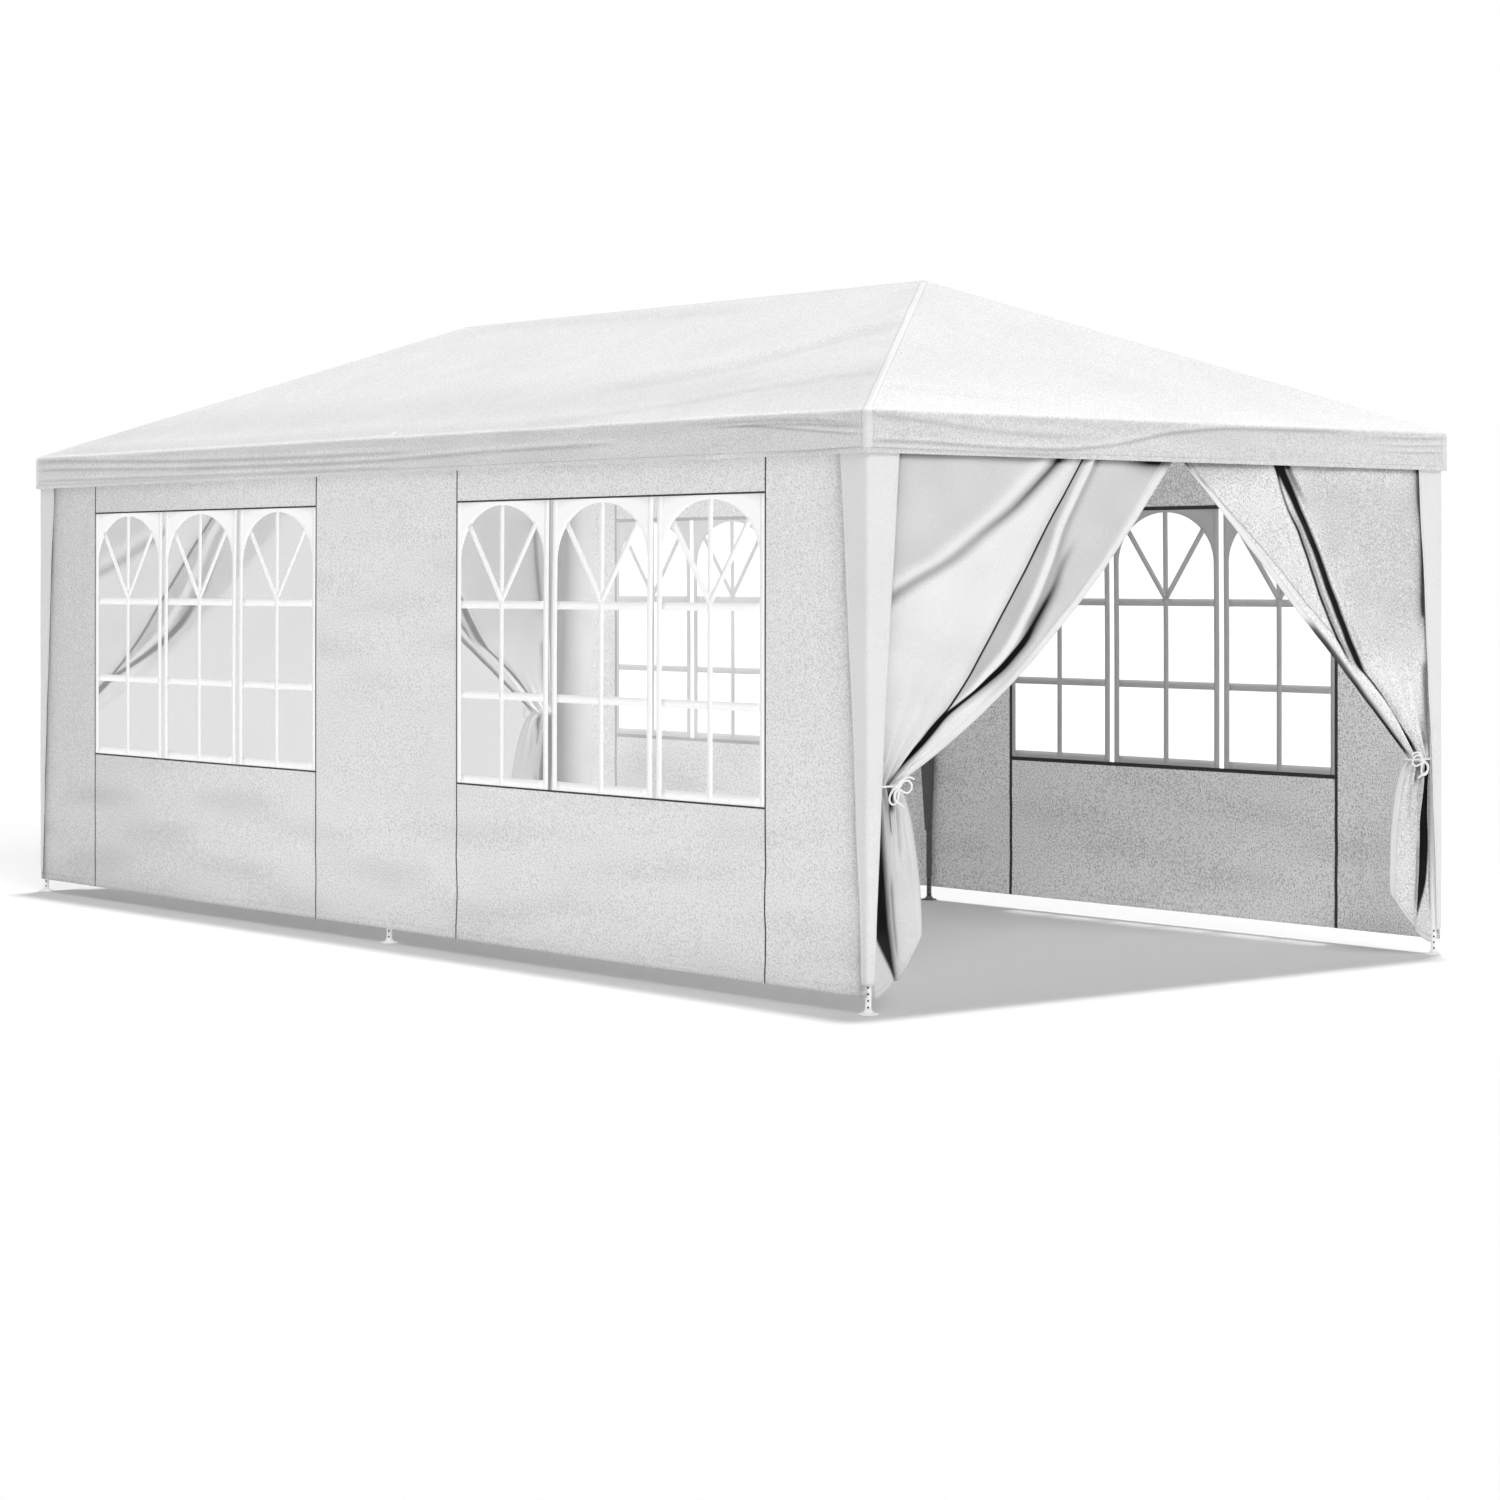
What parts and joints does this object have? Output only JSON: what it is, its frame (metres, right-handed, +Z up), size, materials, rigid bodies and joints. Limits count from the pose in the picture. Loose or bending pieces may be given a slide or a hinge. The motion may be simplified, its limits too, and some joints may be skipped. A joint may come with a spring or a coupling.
{
  "type": "marquee tent",
  "caption": "White party marquee with a hipped fabric roof on a steel tube frame, long window walls and open ends with tied-back curtains.",
  "frame": {"origin": "on the ground under the middle of the tent, at the centre of the bottom of its box", "axes": "+Z up, +Y along the tent towards the back doorway, +X across it to the right seen from the front doorway"},
  "size_m": [3.03, 5.98, 2.6599],
  "materials": {
    "white_fabric": "coated woven sheet, matt with a faint sheen",
    "white_tube": "powder-coated steel tube, satin",
    "white_joint": "moulded plastic",
    "clear_film": "clear flexible window film",
    "white_cord": "twisted cord"
  },
  "bodies": {
    "tent": {"leg_front_left": "white_tube", "leg_front_right": "white_tube", "leg_middle_left": "white_tube", "leg_middle_right": "white_tube", "leg_back_left": "white_tube", "leg_back_right": "white_tube", "front_rail": "white_tube", "back_rail": "white_tube", "left_rail_front": "white_tube", "left_rail_back": "white_tube", "right_rail_front": "white_tube", "right_rail_back": "white_tube", "front_left_rafter": "white_tube", "front_right_rafter": "white_tube", "back_left_rafter": "white_tube", "back_right_rafter": "white_tube", "middle_left_rafter": "white_tube", "middle_right_rafter": "white_tube", "ridge_pole_front": "white_tube", "ridge_pole_back": "white_tube", "peak_joint_front": "white_joint", "peak_joint_back": "white_joint", "ridge_joint": "white_joint", "roof_front": "white_fabric", "roof_back": "white_fabric", "roof_left": "white_fabric", "roof_right": "white_fabric", "valance_front": "white_fabric", "valance_back": "white_fabric", "valance_left": "white_fabric", "valance_right": "white_fabric", "left_wall": "white_fabric", "right_wall": "white_fabric", "left_window_front": "clear_film", "left_window_back": "clear_film", "right_window_front": "clear_film", "right_window_back": "clear_film", "curtain_front_left": "white_fabric", "curtain_front_right": "white_fabric", "curtain_back_left": "white_fabric", "curtain_back_right": "white_fabric", "leg_cover_front_left": "white_fabric", "leg_cover_front_right": "white_fabric", "leg_cover_back_left": "white_fabric", "leg_cover_back_right": "white_fabric", "leg_sleeve_left": "white_fabric", "leg_sleeve_right": "white_fabric", "tie_front_left": "white_cord", "tie_front_right": "white_cord", "tie_back_left": "white_cord", "tie_back_right": "white_cord"},
    "foot_front_left": {"foot_front_left": "white_tube"},
    "foot_front_right": {"foot_front_right": "white_tube"},
    "foot_middle_left": {"foot_middle_left": "white_tube"},
    "foot_middle_right": {"foot_middle_right": "white_tube"},
    "foot_back_left": {"foot_back_left": "white_tube"},
    "foot_back_right": {"foot_back_right": "white_tube"}
  },
  "joints": [
    {"name": "front_left_height", "type": "slide", "parent": "tent", "child": "foot_front_left", "axis": [0, 0, -1], "range_m": [0, 0.09]},
    {"name": "front_right_height", "type": "slide", "parent": "tent", "child": "foot_front_right", "axis": [0, 0, -1], "range_m": [0, 0.09]},
    {"name": "middle_left_height", "type": "slide", "parent": "tent", "child": "foot_middle_left", "axis": [0, 0, -1], "range_m": [0, 0.09]},
    {"name": "middle_right_height", "type": "slide", "parent": "tent", "child": "foot_middle_right", "axis": [0, 0, -1], "range_m": [0, 0.09]},
    {"name": "back_left_height", "type": "slide", "parent": "tent", "child": "foot_back_left", "axis": [0, 0, -1], "range_m": [0, 0.09]},
    {"name": "back_right_height", "type": "slide", "parent": "tent", "child": "foot_back_right", "axis": [0, 0, -1], "range_m": [0, 0.09]}
  ]
}
